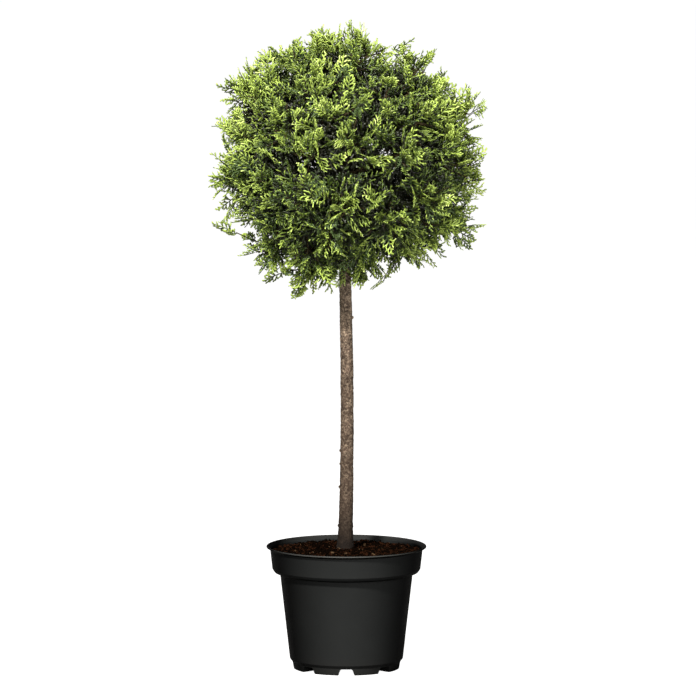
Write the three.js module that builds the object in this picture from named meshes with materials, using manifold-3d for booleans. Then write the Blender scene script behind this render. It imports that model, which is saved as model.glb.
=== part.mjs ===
// A standard ("lollipop") topiary: a golden cypress grown on one clear stem, its head clipped to a
// ball that has since put out fresh sprays, in a five litre black plastic nursery pot.
//
// Millimetres, +Z up. The origin is on the ground, under the middle of the pot. The front is -Y.
// The trunk stands on the compost and runs up into the head. Boughs leave it there, one to each
// mass of foliage. A mass is a piece of the clipped ball's dense shell with twigs and flat toothed
// sprays fused to it, and it keeps to its own wedge of the head.

import * as THREE from "three";
import { mergeVertices } from "three/addons/utils/BufferGeometryUtils.js";
import Module from "manifold-3d";

const wasm = await Module();
wasm.setup();

// ---- driving dimensions -------------------------------------------------------------------

const GAP = 0.3; // between solids that touch
const WEDGE_GAP = 1.2; // from a shell's cut side to the wall between two masses
const SPRAY_GAP = 0.8; // from a spray to that wall
const TRUNK_GAP = 3; // from a spray to the trunk
const SEED = 20;

const POT = {
  rimRadius: 115,
  height: 179,
  wall: 1.5,
  footRadius: 77.2, // outside of the ring of feet
  footHeight: 9.5,
  base: 1.8, // thickness of the floor
  bodyFootRadius: 82.3, // just above the step over the feet
  bodyTopRadius: 96.4, // where the body runs into the collar
  bodyTop: 138.5,
  collarFootRadius: 107.6,
  collarTopRadius: 110.8,
  collarFoot: 145.5,
  collarTop: 174,
  feet: 8,
  notchWidth: 24, // at the ground, between two feet
  notchTopWidth: 17,
  drainRadius: 5,
  drainCircle: 60,
  sides: 48,
};

const SOIL = { top: 172, edgeDrop: 2.5, levelRadius: 60, slack: 0.3, sides: 32 };

const TRUNK = {
  foot: SOIL.top + GAP,
  tip: 806,
  footRadius: 9.4,
  headRadius: 8.3, // where it enters the head
  tipRadius: 2.6,
  flare: 2.6, // added at the ground
  flareHeight: 26,
  footX: -1.9,
  bow: { x: 3, y: 1.5 }, // of the centre line, back and forth as it rises
  bowHeight: { x: 400, y: 500 },
  sides: 12,
  rings: 14,
};

const HEAD = {
  centre: new THREE.Vector3(5, 0, 742),
  radius: 186, // to the sprays' tips on an average side
  core: 0.79, // the dense shell's outside, as a share of the reach
  hollow: 0.67, // and its inside
  lobeWidth: 0.46, // radians
  cleftHeight: 70, // a valley over the head, between its two domes: degrees above +X
  cleftDepth: 0.15,
  cleftWidth: 0.13, // radians
  stemHole: 20, // clear space round the trunk where it enters
};

// The masses of foliage: bearing from +X towards +Y, height above the level of the centre, how
// far the mass swells out of the ball, as a share of the radius, and where its bough leaves the
// trunk.
const MASSES = [
  { name: "dome_left", bearing: 180, height: 82, swell: 0.02, fork: 780 },
  { name: "dome_right", bearing: 0, height: 49, swell: 0.01, fork: 766 },
  { name: "upper_right", bearing: 352, height: 6, swell: 0.0, fork: 714 },
  { name: "upper_back_right", bearing: 68, height: 22, swell: 0.03, fork: 728 },
  { name: "upper_back_left", bearing: 129, height: 25, swell: 0.06, fork: 742 },
  { name: "upper_left", bearing: 186, height: 24, swell: 0.08, fork: 720 },
  { name: "upper_front_left", bearing: 240, height: 25, swell: 0.06, fork: 735 },
  { name: "upper_front_right", bearing: 294, height: 22, swell: 0.03, fork: 750 },
  { name: "lower_right", bearing: 24, height: -33, swell: 0.07, fork: 656 },
  { name: "lower_back", bearing: 96, height: -32, swell: 0.03, fork: 669 },
  { name: "lower_left", bearing: 168, height: -31, swell: 0.08, fork: 650 },
  { name: "lower_front_left", bearing: 236, height: -34, swell: 0.05, fork: 664 },
  { name: "lower_front_right", bearing: 306, height: -32, swell: 0.04, fork: 643 },
];

const BOUGH = { rootRadius: 5.2, tipRadius: 3.4, end: 0.55, sides: 6, rings: 3 };

const TWIG = {
  count: 60, // over the whole ball, shoots included
  root: 0.69, // as a share of the reach
  fork: 0.73, // where sprays leave it, inside the shell
  rootRadius: 3.4,
  tipRadius: 2,
  jitter: 0.12, // of its direction, radians
  upturn: 0.14, // how far it turns up
  inset: 0.15, // radians that it keeps from the edge of its mass
  shortest: 0.95, // of the reach
  proud: 1.08, // of the reach, that a spray may stand out
  sprays: 3, // round it, besides the leading one
};

const SPRAY = {
  length: 84,
  width: 54,
  teeth: 2, // on each side
  bare: 0.27, // share of the length that is stalk
  thickness: 2.4,
  sink: 3, // how far its root goes back past its twig
  rib: 1.9, // half the width of the stalk
  splay: 0.8, // radians between a side spray and its twig
  tilt: 0.6, // radians either way that a side spray rolls out of lying on the ball
  curl: 0.1, // at most, of its tip out of its plane, as a share of its length
  tries: 16,
};

// Fresh shoots that stand well out of the clipped ball: bearing, height, and reach beyond it.
const SHOOTS = [
  { bearing: 0, height: 82, reach: 16 },
  { bearing: 0, height: 52, reach: 16 },
  { bearing: 38, height: 46, reach: 4 },
  { bearing: 325, height: 48, reach: 6 },
  { bearing: 0, height: 20, reach: 24 },
  { bearing: 0, height: -3, reach: 12 },
  { bearing: 0, height: -34, reach: 22 },
  { bearing: 180, height: 32, reach: 14 },
  { bearing: 180, height: -11, reach: 12 },
  { bearing: 180, height: -32, reach: 28 },
  { bearing: 180, height: -48, reach: 22 },
  { bearing: 183, height: -69, reach: 32 },
  { bearing: 90, height: 18, reach: 8 },
  { bearing: 84, height: -20, reach: 14 },
  { bearing: 270, height: 14, reach: 8 },
  { bearing: 265, height: -24, reach: 14 },
];

// ---- small tools --------------------------------------------------------------------------

// A seeded stream of numbers from 0 to 1.
function stream(seed) {
  let state = seed >>> 0;
  return () => {
    state = (Math.imul(state, 1664525) + 1013904223) >>> 0;
    return state / 4294967296;
  };
}

const radians = THREE.MathUtils.degToRad;
const mix = THREE.MathUtils.lerp;

function direction(bearing, height) {
  const b = radians(bearing);
  const h = radians(height);
  return new THREE.Vector3(Math.cos(b) * Math.cos(h), Math.sin(b) * Math.cos(h), Math.sin(h));
}

// Any unit vector square to this one.
function squareTo(v) {
  const other = Math.abs(v.z) < 0.9 ? new THREE.Vector3(0, 0, 1) : new THREE.Vector3(1, 0, 0);
  return new THREE.Vector3().crossVectors(v, other).normalize();
}

function solidFrom(geometry) {
  const bare = geometry.clone();
  bare.deleteAttribute("normal");
  bare.deleteAttribute("uv");
  const merged = mergeVertices(bare, 1e-4);
  return new wasm.Manifold(
    new wasm.Mesh({
      numProp: 3,
      vertProperties: new Float32Array(merged.attributes.position.array),
      triVerts: new Uint32Array(merged.index.array),
    }),
  );
}

function geometryFrom(solid) {
  const mesh = solid.getMesh();
  return new THREE.BufferGeometry()
    .setAttribute("position", new THREE.BufferAttribute(new Float32Array(mesh.vertProperties), 3))
    .setIndex(new THREE.BufferAttribute(new Uint32Array(mesh.triVerts), 1));
}

// A closed lathe about +Z from [radius, z] points, with the solid on the left of the path.
function turned(points, sides) {
  const profile = points.map(([r, z]) => new THREE.Vector2(r, z));
  return new THREE.LatheGeometry(profile, sides).rotateX(Math.PI / 2);
}

// A closed limb through rings of { at, radius }, each ring square to the way the limb runs, or
// level where the limb stands upright.
function limb(rings, sides, upright = false) {
  const position = [];
  const index = [];
  const along = (i) => {
    if (upright) return new THREE.Vector3(0, 0, 1);
    const ahead = rings[Math.min(i + 1, rings.length - 1)].at;
    return ahead.clone().sub(rings[Math.max(i - 1, 0)].at).normalize();
  };
  const first = squareTo(along(0));
  rings.forEach(({ at, radius }, i) => {
    const axis = along(i);
    const across = first.clone().addScaledVector(axis, -first.dot(axis)).normalize();
    const side = new THREE.Vector3().crossVectors(axis, across);
    for (let k = 0; k < sides; k++) {
      const turn = (2 * Math.PI * k) / sides;
      const p = at
        .clone()
        .addScaledVector(across, radius * Math.cos(turn))
        .addScaledVector(side, radius * Math.sin(turn));
      position.push(p.x, p.y, p.z);
    }
  });
  for (let i = 0; i + 1 < rings.length; i++) {
    for (let k = 0; k < sides; k++) {
      const a = i * sides + k;
      const b = i * sides + ((k + 1) % sides);
      index.push(a, b, b + sides, a, b + sides, a + sides);
    }
  }
  const last = (rings.length - 1) * sides;
  for (let k = 1; k + 1 < sides; k++) {
    index.push(0, k + 1, k, last, last + k, last + k + 1);
  }
  return new THREE.BufferGeometry()
    .setAttribute("position", new THREE.Float32BufferAttribute(position, 3))
    .setIndex(index);
}

// ---- the pot and its compost --------------------------------------------------------------

function potGeometry() {
  const { wall, height, rimRadius } = POT;
  const floor = POT.footHeight + POT.base;
  const outside = [
    [0, POT.footHeight],
    [POT.footRadius - 3.6, POT.footHeight],
    [POT.footRadius - 2.8, 0],
    [POT.footRadius, 0],
    [POT.footRadius + 1.6, POT.footHeight + 0.5],
    [POT.bodyFootRadius, POT.footHeight + 5],
    [POT.bodyTopRadius, POT.bodyTop],
    [POT.collarFootRadius - 3.2, POT.bodyTop + 2.4],
    [POT.collarFootRadius, POT.collarFoot],
    [POT.collarTopRadius, POT.collarTop],
    [rimRadius, height - 2],
    [rimRadius - 0.3, height - 0.5],
    [rimRadius - 1.6, height],
  ];
  const inside = [
    [POT.collarTopRadius - wall, POT.collarTop + 0.6],
    [POT.collarFootRadius - wall, POT.collarFoot + 0.6],
    [POT.collarFootRadius - 4, POT.bodyTop + 4.2],
    [POT.bodyTopRadius - wall, POT.bodyTop + 1.6],
    [POT.bodyFootRadius - wall, POT.footHeight + 5.6],
    [POT.footRadius, floor],
    [0, floor],
  ];
  let pot = solidFrom(turned([...outside, ...inside], POT.sides));
  for (let i = 0; i < POT.feet / 2; i++) {
    pot = pot.subtract(solidFrom(notchGeometry().rotateZ((2 * Math.PI * i) / POT.feet)));
  }
  for (let i = 0; i < POT.feet; i++) {
    const drain = new THREE.CylinderGeometry(POT.drainRadius, POT.drainRadius, 8, 8);
    drain.rotateX(Math.PI / 2).translate(POT.drainCircle, 0, floor);
    pot = pot.subtract(solidFrom(drain.rotateZ((2 * Math.PI * (i + 0.5)) / POT.feet)));
  }
  return geometryFrom(pot);
}

// The space between two feet and the two opposite them: a trapezoid right across the pot.
function notchGeometry() {
  const low = POT.notchWidth / 2;
  const high = POT.notchTopWidth / 2;
  const top = POT.footHeight - 0.2;
  const outline = new THREE.Shape([
    new THREE.Vector2(-low, -1),
    new THREE.Vector2(low, -1),
    new THREE.Vector2(low, 0),
    new THREE.Vector2(high, top),
    new THREE.Vector2(-high, top),
    new THREE.Vector2(-low, 0),
  ]);
  const length = 2 * POT.rimRadius;
  const bar = new THREE.ExtrudeGeometry(outline, { depth: length, bevelEnabled: false });
  return bar.translate(0, 0, -length / 2).rotateX(Math.PI / 2);
}

function soilGeometry() {
  const foot = POT.footHeight + POT.base + GAP;
  const inset = POT.wall + GAP + SOIL.slack;
  const edge = SOIL.top - SOIL.edgeDrop;
  const collar = mix(
    POT.collarFootRadius,
    POT.collarTopRadius,
    (edge - POT.collarFoot) / (POT.collarTop - POT.collarFoot),
  );
  return turned(
    [
      [0, foot],
      [POT.footRadius - inset / 2, foot],
      [POT.bodyFootRadius - inset, POT.footHeight + 6.2],
      [POT.bodyTopRadius - inset, POT.bodyTop + 2.2],
      [POT.collarFootRadius - 4.6, POT.bodyTop + 4.8],
      [POT.collarFootRadius - inset, POT.collarFoot + 1],
      [collar - inset, edge],
      [SOIL.levelRadius, SOIL.top],
      [0, SOIL.top],
    ],
    SOIL.sides,
  );
}

// ---- the trunk and the boughs -------------------------------------------------------------

// The trunk's centre line bows one way over the clear stem and the other way in the head.
function trunkAt(z) {
  const rise = Math.PI * (z - TRUNK.foot);
  const x = TRUNK.footX + TRUNK.bow.x * Math.sin(rise / TRUNK.bowHeight.x);
  const y = TRUNK.bow.y * Math.sin(rise / TRUNK.bowHeight.y);
  return new THREE.Vector3(x, y, z);
}

function trunkRadius(z) {
  const headFoot = HEAD.centre.z - 0.95 * HEAD.radius;
  const flare = TRUNK.flare * Math.exp(-(z - TRUNK.foot) / TRUNK.flareHeight);
  if (z < headFoot) {
    return mix(TRUNK.footRadius, TRUNK.headRadius, (z - TRUNK.foot) / (headFoot - TRUNK.foot)) + flare;
  }
  return mix(TRUNK.headRadius, TRUNK.tipRadius, (z - headFoot) / (TRUNK.tip - headFoot));
}

// The trunk's surface, or one that stands off it all round.
function trunkGeometry(standOff = 0) {
  const rings = [];
  for (let i = 0; i <= TRUNK.rings; i++) {
    const share = i / TRUNK.rings;
    const z = mix(TRUNK.foot, TRUNK.tip, 0.25 * share * share + 0.75 * share);
    rings.push({ at: trunkAt(z), radius: trunkRadius(z) + standOff });
  }
  rings[0].at.z -= standOff;
  rings[TRUNK.rings].at.z += standOff;
  return limb(rings, TRUNK.sides, true);
}

// How far the foliage reaches from the head's centre in a direction.
function reachTo(dir) {
  let swell = 0;
  for (const mass of MASSES) {
    const angle = dir.angleTo(mass.dir);
    swell += mass.swell * Math.exp(-((angle / HEAD.lobeWidth) ** 2));
  }
  const across = Math.atan2(dir.z, dir.x) - radians(HEAD.cleftHeight);
  const cleft = HEAD.cleftDepth * Math.exp(-((across / HEAD.cleftWidth) ** 2)) * (1 - dir.y * dir.y);
  return HEAD.radius * (1 + swell - cleft);
}

function outTo(dir, share) {
  return HEAD.centre.clone().addScaledVector(dir, share * reachTo(dir));
}

// A bough leaves the trunk at its fork, bends out to its mass, and ends square to it.
function boughRings(mass) {
  const end = outTo(mass.dir, BOUGH.end);
  const rootRadius = Math.min(BOUGH.rootRadius, 0.8 * trunkRadius(mass.fork));
  const neck = end.clone().addScaledVector(mass.dir, -3 * BOUGH.tipRadius);
  const bend = end.clone().addScaledVector(mass.dir, -0.2 * HEAD.radius);
  const path = new THREE.QuadraticBezierCurve3(trunkAt(mass.fork), bend, neck);
  const rings = [];
  for (let i = 0; i <= BOUGH.rings; i++) {
    const share = i / BOUGH.rings;
    rings.push({ at: path.getPoint(share), radius: mix(rootRadius, BOUGH.tipRadius, share) });
  }
  rings.push({ at: end, radius: BOUGH.tipRadius });
  return rings;
}

function boughGeometry(mass) {
  const bough = solidFrom(limb(boughRings(mass), BOUGH.sides));
  const cut = bough.subtract(solidFrom(trunkGeometry(GAP)));
  const pieces = cut.decompose().sort((a, b) => b.volume() - a.volume());
  return geometryFrom(pieces[0]);
}

// ---- the masses of foliage ----------------------------------------------------------------

// The nearest mass to a direction.
function ownerOf(dir) {
  return MASSES.reduce((best, mass) => (dir.dot(mass.dir) > dir.dot(best.dir) ? mass : best));
}

// True if every point lies in the mass's own wedge of the head.
function inWedge(mass, points, margin) {
  return points.every((p) => {
    const out = p.clone().sub(HEAD.centre);
    return mass.walls.every((wall) => out.dot(wall) > margin);
  });
}

// The dense shell of the clipped ball, cut to one wedge.
function coreSolid(mass) {
  const ball = (detail, share, rough) => {
    const sphere = new THREE.IcosahedronGeometry(1, detail);
    const p = sphere.attributes.position;
    for (let i = 0; i < p.count; i++) {
      const dir = new THREE.Vector3().fromBufferAttribute(p, i).normalize();
      const ripple = 1 + rough * Math.sin(9 * dir.x + 2) * Math.sin(8 * dir.y + 1) * Math.sin(7 * dir.z);
      const at = outTo(dir, share * ripple);
      p.setXYZ(i, at.x, at.y, at.z);
    }
    return solidFrom(sphere);
  };
  let core = ball(2, HEAD.core, 0.06).subtract(ball(1, HEAD.hollow, 0));
  const size = 4 * HEAD.radius;
  for (const wall of mass.walls) {
    const half = new THREE.BoxGeometry(size, size, size).translate(0, 0, size / 2 + WEDGE_GAP);
    half.applyQuaternion(new THREE.Quaternion().setFromUnitVectors(new THREE.Vector3(0, 0, 1), wall));
    half.translate(HEAD.centre.x, HEAD.centre.y, HEAD.centre.z);
    core = core.intersect(solidFrom(half));
  }
  return core.subtract(solidFrom(trunkGeometry(HEAD.stemHole)));
}

// A flat toothed spray along +X with its root behind the origin, curved up out of its plane: a
// bare stalk, then the teeth, then the tip. It is thickest along its spine and thins to an edge
// all round.
function sprayGeometry(length, width, curl) {
  const points = [];
  const index = [];
  const add = (x, y, z) => {
    const share = Math.max(0, x / length);
    points.push(x, y, z * (1 - 0.5 * share) + curl * length * share * share);
    return points.length / 3 - 1;
  };
  const bare = SPRAY.bare * length;
  const pitch = (0.86 * length - bare) / SPRAY.teeth;
  const stations = [-SPRAY.sink, ...Array.from({ length: SPRAY.teeth + 1 }, (_, k) => bare + k * pitch)];
  const spine = (z) => stations.map((x) => add(x, 0, z));
  const faces = [spine(SPRAY.thickness / 2), spine(-SPRAY.thickness / 2)];
  const tip = add(length, 0, 0);
  const last = stations.length - 1;
  for (const sign of [1, -1]) {
    const edge = stations.map((x) => add(x, sign * SPRAY.rib * (1 - 0.4 * Math.max(0, x / length)), 0));
    const toothTips = stations.slice(1, last).map((x, k) => {
      const spread = (width / 2) * (1 - 0.32 * k);
      return add(x + pitch * (sign > 0 ? 1.1 : 0.9), sign * spread, 0);
    });
    faces.forEach((ridge, face) => {
      const turn = (sign > 0) === (face === 0);
      const triangle = (a, b, c) => index.push(a, turn ? c : b, turn ? b : c);
      triangle(ridge[0], edge[0], edge[1]);
      triangle(ridge[0], edge[1], ridge[1]);
      for (let k = 1; k < last; k++) {
        triangle(ridge[k], edge[k], toothTips[k - 1]);
        triangle(ridge[k], toothTips[k - 1], edge[k + 1]);
        triangle(ridge[k], edge[k + 1], ridge[k + 1]);
      }
      triangle(ridge[last], edge[last], tip);
    });
    const root = [faces[0][0], faces[1][0], edge[0]];
    index.push(...(sign > 0 ? root.reverse() : root));
  }
  return new THREE.BufferGeometry()
    .setAttribute("position", new THREE.Float32BufferAttribute(points, 3))
    .setIndex(index);
}

function placed(geometry, at, axis, normal) {
  const side = new THREE.Vector3().crossVectors(normal, axis).normalize();
  const face = new THREE.Vector3().crossVectors(axis, side);
  return geometry.applyMatrix4(new THREE.Matrix4().makeBasis(axis, side, face).setPosition(at));
}

function pointsOf(geometry) {
  const p = geometry.attributes.position;
  return Array.from({ length: p.count }, (_, i) => new THREE.Vector3().fromBufferAttribute(p, i));
}

// True if the points keep clear of the trunk.
function clearOfTrunk(points) {
  return points.every((p) => {
    const off = p.clone().sub(trunkAt(p.z)).setZ(0).length();
    return p.z > TRUNK.tip + TRUNK_GAP || off > trunkRadius(Math.min(p.z, TRUNK.tip)) + TRUNK_GAP;
  });
}

// A spray from a twig, splayed out from it. It is moved round the twig, rolled about itself and
// shortened until it fits the head's outline and the wedge, and crosses no other spray outside
// the shell.
function fittedSpray(mass, spray, next) {
  const { at, along, splay } = spray;
  for (let attempt = 0; attempt < SPRAY.tries; attempt++) {
    const size = 1 - 0.03 * attempt;
    const off = squareTo(along).applyAxisAngle(along, spray.turn + 2.4 * attempt);
    const axis = along.clone().multiplyScalar(Math.cos(splay)).addScaledVector(off, Math.sin(splay));
    const facing = along.clone().multiplyScalar(Math.sin(splay)).addScaledVector(off, -Math.cos(splay));
    const normal = facing.applyAxisAngle(axis, SPRAY.tilt * (2 * next() - 1));
    const blade = sprayGeometry(size * spray.length, size * SPRAY.width, SPRAY.curl * next());
    placed(blade, at, axis, normal);
    const points = pointsOf(blade);
    if (points.some((p) => p.distanceTo(HEAD.centre) > spray.limit)) continue;
    if (!inWedge(mass, points, SPRAY_GAP) || !clearOfTrunk(points)) continue;
    const solid = solidFrom(blade);
    const showing = solid.subtract(mass.core);
    if (mass.showing.some((other) => !showing.intersect(other).isEmpty())) continue;
    mass.showing.push(showing);
    return [solid];
  }
  return [];
}

// A twig in the shell, with a spray at its tip and others round it. A fresh shoot's twig runs on
// out of the shell.
function twigSolids(mass, { dir, reach }, next) {
  const root = outTo(dir, TWIG.root);
  const fork = outTo(dir, TWIG.fork);
  const upturn = TWIG.upturn * (1 - dir.z * dir.z);
  const along = dir.clone().add(new THREE.Vector3(0, 0, upturn)).normalize();
  const tip = fork.clone().addScaledVector(along, reach - fork.distanceTo(HEAD.centre));
  const end = tip.clone().addScaledVector(along, -Math.min(SPRAY.length, tip.distanceTo(fork)));
  const rings = [
    { at: root, radius: TWIG.rootRadius },
    { at: end, radius: TWIG.tipRadius },
  ];
  const turn = 2 * Math.PI * next();
  const lead = { at: end, along, splay: 0, turn, length: tip.distanceTo(end), limit: reach + 2 };
  const limit = TWIG.proud * reachTo(dir);
  const solids = [solidFrom(limb(rings, 3)), ...fittedSpray(mass, lead, next)];
  for (let k = 0; k < TWIG.sprays; k++) {
    const round = turn + (2 * Math.PI * k) / TWIG.sprays;
    const side = { at: fork, along, splay: SPRAY.splay, turn: round, length: SPRAY.length, limit };
    solids.push(...fittedSpray(mass, side, next));
  }
  return solids;
}

// Moves a direction towards the middle of its mass until it is clear of the mass's edges.
function insetFrom(mass, dir) {
  const found = dir.clone();
  for (let i = 0; i < 40 && mass.walls.some((wall) => found.dot(wall) < Math.sin(TWIG.inset)); i++) {
    found.addScaledVector(mass.dir, 0.04).normalize();
  }
  return found;
}

// The twigs: points spread evenly over the ball, each a little off its place. The nearest one to
// each shoot becomes that shoot.
function allTwigs(next) {
  const golden = Math.PI * (3 - Math.sqrt(5));
  const twigs = [];
  for (let i = 0; i < TWIG.count; i++) {
    const z = 1 - (2 * i + 1) / TWIG.count;
    const level = Math.sqrt(1 - z * z);
    const dir = new THREE.Vector3(level * Math.cos(golden * i), level * Math.sin(golden * i), z);
    dir.x += TWIG.jitter * (next() - 0.5);
    dir.y += TWIG.jitter * (next() - 0.5);
    dir.z += TWIG.jitter * (next() - 0.5);
    dir.normalize();
    const mass = ownerOf(dir);
    const within = insetFrom(mass, dir);
    twigs.push({ mass, dir: within, reach: reachTo(within) * mix(TWIG.shortest, 1, next()) });
  }
  for (const { bearing, height, reach } of SHOOTS) {
    const dir = direction(bearing, height);
    const twig = twigs.reduce((best, each) => (each.dir.dot(dir) > best.dir.dot(dir) ? each : best));
    Object.assign(twig, { mass: ownerOf(dir), dir, reach: reachTo(dir) + reach });
  }
  return twigs;
}

function massGeometry(mass, twigs, seed) {
  const next = stream(seed);
  const start = outTo(mass.dir, BOUGH.end).addScaledVector(mass.dir, GAP);
  const rings = [
    { at: start, radius: BOUGH.tipRadius },
    { at: outTo(mass.dir, TWIG.root), radius: 0.8 * BOUGH.tipRadius },
  ];
  const stem = solidFrom(limb(rings, BOUGH.sides));
  mass.core = coreSolid(mass);
  mass.showing = [];
  const twigParts = twigs.flatMap((twig) => twigSolids(mass, twig, next));
  const pieces = wasm.Manifold.union([mass.core, stem, ...twigParts]).decompose();
  return geometryFrom(pieces.sort((a, b) => b.volume() - a.volume())[0]);
}

// ---- the whole plant ----------------------------------------------------------------------

for (const mass of MASSES) mass.dir = direction(mass.bearing, mass.height);
for (const mass of MASSES) {
  mass.walls = MASSES.filter((other) => other !== mass).map((other) =>
    mass.dir.clone().sub(other.dir).normalize(),
  );
}

const twigs = allTwigs(stream(SEED));

const FINISH = {
  pot: { color: 0x1d1f1f, roughness: 0.45, metalness: 0 },
  soil: { color: 0x20140f, roughness: 0.95, metalness: 0 },
  bark: { color: 0x6b5a49, roughness: 0.9, metalness: 0 },
  foliage: { color: 0x5c7a2c, roughness: 0.6, metalness: 0 },
};

const plant = new THREE.Group();

function add(name, geometry, finish) {
  geometry.computeVertexNormals();
  const mesh = new THREE.Mesh(geometry, new THREE.MeshStandardMaterial(finish));
  mesh.name = name;
  plant.add(mesh);
}

add("pot", potGeometry(), FINISH.pot);
add("soil", soilGeometry(), FINISH.soil);
add("trunk", trunkGeometry(), FINISH.bark);
MASSES.forEach((mass, i) => {
  add("bough_" + mass.name, boughGeometry(mass), FINISH.bark);
  const own = twigs.filter((twig) => twig.mass === mass);
  add("foliage_" + mass.name, massGeometry(mass, own, SEED + 101 * (i + 1)), FINISH.foliage);
});

export default plant;
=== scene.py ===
# A standard ("lollipop") topiary: a golden cypress on one clear stem, its head clipped to a ball
# that has since put out fresh sprays, in a five litre black plastic nursery pot.
#
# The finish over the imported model, in the same frame: +Z up, the front is -Y, the origin on the
# ground under the middle of the pot. Named sizes are in millimetres, and MM turns them to metres
# where a mesh is made. The head grows by the rule that the solids grow by, carried on to finer
# twigs, flat sprays and the small scaled blades of each spray.

import math

import bpy
import numpy as np
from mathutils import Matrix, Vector


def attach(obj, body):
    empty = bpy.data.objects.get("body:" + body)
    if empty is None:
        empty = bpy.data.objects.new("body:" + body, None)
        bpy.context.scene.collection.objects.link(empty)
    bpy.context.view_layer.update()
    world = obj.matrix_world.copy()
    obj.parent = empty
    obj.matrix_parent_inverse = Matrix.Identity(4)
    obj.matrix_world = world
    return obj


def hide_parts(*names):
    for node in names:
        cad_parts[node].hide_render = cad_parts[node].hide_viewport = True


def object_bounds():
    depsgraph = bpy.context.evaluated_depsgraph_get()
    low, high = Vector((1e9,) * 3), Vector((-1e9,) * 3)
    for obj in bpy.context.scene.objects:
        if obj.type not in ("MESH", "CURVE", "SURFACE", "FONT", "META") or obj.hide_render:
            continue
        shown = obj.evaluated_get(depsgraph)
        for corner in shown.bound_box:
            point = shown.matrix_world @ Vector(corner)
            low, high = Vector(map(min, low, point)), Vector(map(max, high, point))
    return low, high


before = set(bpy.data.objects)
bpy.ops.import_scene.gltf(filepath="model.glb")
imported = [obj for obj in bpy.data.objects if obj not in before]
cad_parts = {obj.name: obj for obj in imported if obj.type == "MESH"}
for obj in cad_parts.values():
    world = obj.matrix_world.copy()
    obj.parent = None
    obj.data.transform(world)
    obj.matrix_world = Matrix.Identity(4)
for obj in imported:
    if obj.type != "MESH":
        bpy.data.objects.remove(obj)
cad_low, cad_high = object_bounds()

MM = 0.001
BODY = "root"

# ---- small tools ----

UP = np.array((0.0, 0.0, 1.0))
GOLDEN_TURN = math.pi * (3 - math.sqrt(5))
rng = np.random.default_rng(7)


def unit(v):
    return v / np.linalg.norm(v, axis=-1, keepdims=True)


def direction(bearing, height):
    b = math.radians(bearing)
    h = math.radians(height)
    return np.array((math.cos(b) * math.cos(h), math.sin(b) * math.cos(h), math.sin(h)))


def stream(seed):
    """The solids' own seeded stream of numbers from 0 to 1."""
    state = seed

    def following():
        nonlocal state
        state = (state * 1664525 + 1013904223) % 2**32
        return state / 2**32

    return following


def ring_points(radius, turn, height):
    return np.stack([radius * np.cos(turn), radius * np.sin(turn), height], axis=1)


def spiral_ways(count):
    """Directions spread evenly over a ball, along a spiral from its top."""
    i = np.arange(count)
    z = 1 - (2 * i + 1) / count
    return ring_points(np.sqrt(1 - z * z), GOLDEN_TURN * i, z)


def square_to(heading, first, nearly_up):
    """Two directions square to each heading, the one of them level unless it is nearly upright."""
    other = np.where(np.abs(first[..., 2:3]) < nearly_up, UP, (1.0, 0.0, 0.0))
    across = unit(np.cross(heading, other))
    return across, np.cross(heading, across)


def repeat_faces(faces, corners, count):
    """The faces of one solid, counted on for every copy of its corners."""
    return (np.array(faces)[None] + corners * np.arange(count)[:, None, None]).reshape(-1, 3)


def span(start, end):
    return np.linalg.norm(end - start, axis=1, keepdims=True)


def feed(tree, node, inputs):
    """Gives a node its inputs: a socket is linked, and a number or a colour is set."""
    for label, value in inputs.items():
        if isinstance(value, bpy.types.NodeSocket):
            tree.links.new(value, node.inputs[label])
        else:
            node.inputs[label].default_value = value


def add_node(tree, kind, inputs, **settings):
    """A shader node with its settings and its inputs."""
    node = tree.nodes.new("ShaderNode" + kind)
    for label, value in settings.items():
        setattr(node, label, value)
    feed(tree, node, inputs)
    return node


def enter(mode):
    bpy.ops.object.mode_set(mode=mode)


def deselect():
    if bpy.context.object and bpy.context.object.mode != "OBJECT":
        enter("OBJECT")
    bpy.ops.object.select_all(action="DESELECT")


def take(piece):
    """Makes a piece the active one and the only one selected."""
    deselect()
    piece.select_set(True)
    bpy.context.view_layer.objects.active = piece


def pick_faces(piece, wanted):
    """Opens a piece for editing with only its wanted faces selected."""
    take(piece)
    enter("EDIT")
    bpy.ops.mesh.select_mode(type="FACE")
    bpy.ops.mesh.select_all(action="DESELECT")
    enter("OBJECT")
    for face in piece.data.polygons:
        face.select = wanted(face)
    enter("EDIT")


def fit_to_frame(piece, nodes, finish):
    """Gives a finished piece its material, its body and the nodes it stands for."""
    piece.data.materials.clear()
    piece.data.materials.append(finish)
    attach(piece, BODY)
    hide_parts(*nodes)


def lay_piece(name, points, faces, nodes, slot, finish):
    """One fitted piece from points in millimetres and triangles as rows of three corners."""
    mesh = bpy.data.meshes.new(name)
    mesh.vertices.add(points.size // 3)
    mesh.vertices.foreach_set("co", (points * MM).astype(np.float32).ravel())
    mesh.loops.add(faces.size)
    mesh.loops.foreach_set("vertex_index", faces.astype(np.int32).ravel())
    mesh.polygons.add(len(faces))
    mesh.polygons.foreach_set("loop_start", np.arange(0, faces.size, 3, dtype=np.int32))
    mesh.update(calc_edges=True)
    piece = bpy.data.objects.new(name, mesh)
    bpy.context.scene.collection.objects.link(piece)
    fit_to_frame(piece, nodes, finish)


# ---- the camera, the floor and the lights ----

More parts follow.
